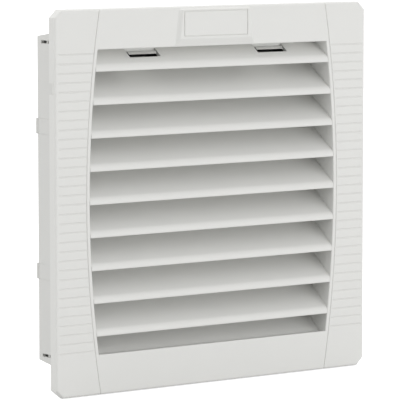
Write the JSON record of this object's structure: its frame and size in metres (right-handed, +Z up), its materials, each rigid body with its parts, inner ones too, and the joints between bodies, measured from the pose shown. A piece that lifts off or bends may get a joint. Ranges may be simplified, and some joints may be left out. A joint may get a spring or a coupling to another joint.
{
  "type": "cabinet filter fan",
  "caption": "Square light-grey filter fan for a cabinet panel: hinged louvre cover, snap-in collar, filter mat and axial fan behind.",
  "frame": {"origin": "centre of the panel cut-out on the panel's outer face, which is the back face of the seal", "axes": "+X right seen from the front, +Y back into the cabinet, +Z up"},
  "size_m": [0.202, 0.0803, 0.202],
  "materials": {
    "cover_plastic": "fine spark-eroded grain",
    "frame_plastic": "fine grain",
    "latch_plastic": "fine grain",
    "pocket_plastic": "smooth, dark",
    "seal_foam": "open foam",
    "filter_fleece": "needled fleece",
    "fan_casting": "satin black on a die casting",
    "rotor_paint": "satin black",
    "lamination": "stacked sheet",
    "copper_wire": "enamelled copper",
    "brass_tube": "turned",
    "steel": "zinc plated",
    "guard_wire": "bright plated wire",
    "terminal_plastic": "smooth"
  },
  "bodies": {
    "base": {"mounting_frame": "frame_plastic", "panel_gasket": "seal_foam", "filter_support": "frame_plastic", "filter_mat": "filter_fleece", "fan_housing": "fan_casting", "bearing_tube": "brass_tube", "bearing_front": "steel", "bearing_rear": "steel", "stator_core": "lamination", "stator_winding": "copper_wire", "fan_screws": "steel", "finger_guard": "guard_wire", "guard_screws": "steel", "terminal_block": "terminal_plastic", "terminal_screws": "steel"},
    "cover": {"cover_frame": "cover_plastic", "louvre_blades": "cover_plastic", "hinge_pins": "steel", "latch_pockets": "pocket_plastic"},
    "latch_left": {"latch_hook_left": "latch_plastic"},
    "latch_right": {"latch_hook_right": "latch_plastic"},
    "snap_upper_left": {"snap_arm_upper_left": "frame_plastic"},
    "snap_upper_right": {"snap_arm_upper_right": "frame_plastic"},
    "snap_lower_left": {"snap_arm_lower_left": "frame_plastic"},
    "snap_lower_right": {"snap_arm_lower_right": "frame_plastic"},
    "rotor": {"rotor_cup": "rotor_paint", "rotor_cage": "lamination", "impeller": "rotor_paint", "shaft": "steel", "retaining_clip": "steel"}
  },
  "joints": [
    {"name": "cover_hinge", "type": "hinge", "parent": "base", "child": "cover", "pos_m": [0, -0.003, -0.0983], "axis": [1, 0, 0], "range_deg": [0, 90]},
    {"name": "latch_left_press", "type": "hinge", "parent": "base", "child": "latch_left", "pos_m": [-0.0415, 0.0159, 0.07557], "axis": [1, 0, 0], "range_deg": [0, 6], "stiffness_Nm_per_rad": 0.3},
    {"name": "latch_right_press", "type": "hinge", "parent": "base", "child": "latch_right", "pos_m": [0.0415, 0.0159, 0.07557], "axis": [1, 0, 0], "range_deg": [0, 6], "stiffness_Nm_per_rad": 0.3},
    {"name": "snap_upper_left_flex", "type": "hinge", "parent": "base", "child": "snap_upper_left", "pos_m": [-0.0868, 0.0326, 0.0385], "axis": [0, 0, 1], "range_deg": [0, 6], "stiffness_Nm_per_rad": 0.5},
    {"name": "snap_upper_right_flex", "type": "hinge", "parent": "base", "child": "snap_upper_right", "pos_m": [0.0868, 0.0326, 0.0385], "axis": [0, 0, -1], "range_deg": [0, 6], "stiffness_Nm_per_rad": 0.5},
    {"name": "snap_lower_left_flex", "type": "hinge", "parent": "base", "child": "snap_lower_left", "pos_m": [-0.0868, 0.0326, -0.0385], "axis": [0, 0, 1], "range_deg": [0, 6], "stiffness_Nm_per_rad": 0.5},
    {"name": "snap_lower_right_flex", "type": "hinge", "parent": "base", "child": "snap_lower_right", "pos_m": [0.0868, 0.0326, -0.0385], "axis": [0, 0, -1], "range_deg": [0, 6], "stiffness_Nm_per_rad": 0.5},
    {"name": "fan_spin", "type": "hinge", "parent": "base", "child": "rotor", "pos_m": [0, 0, 0], "axis": [0, 1, 0], "continuous": true}
  ]
}
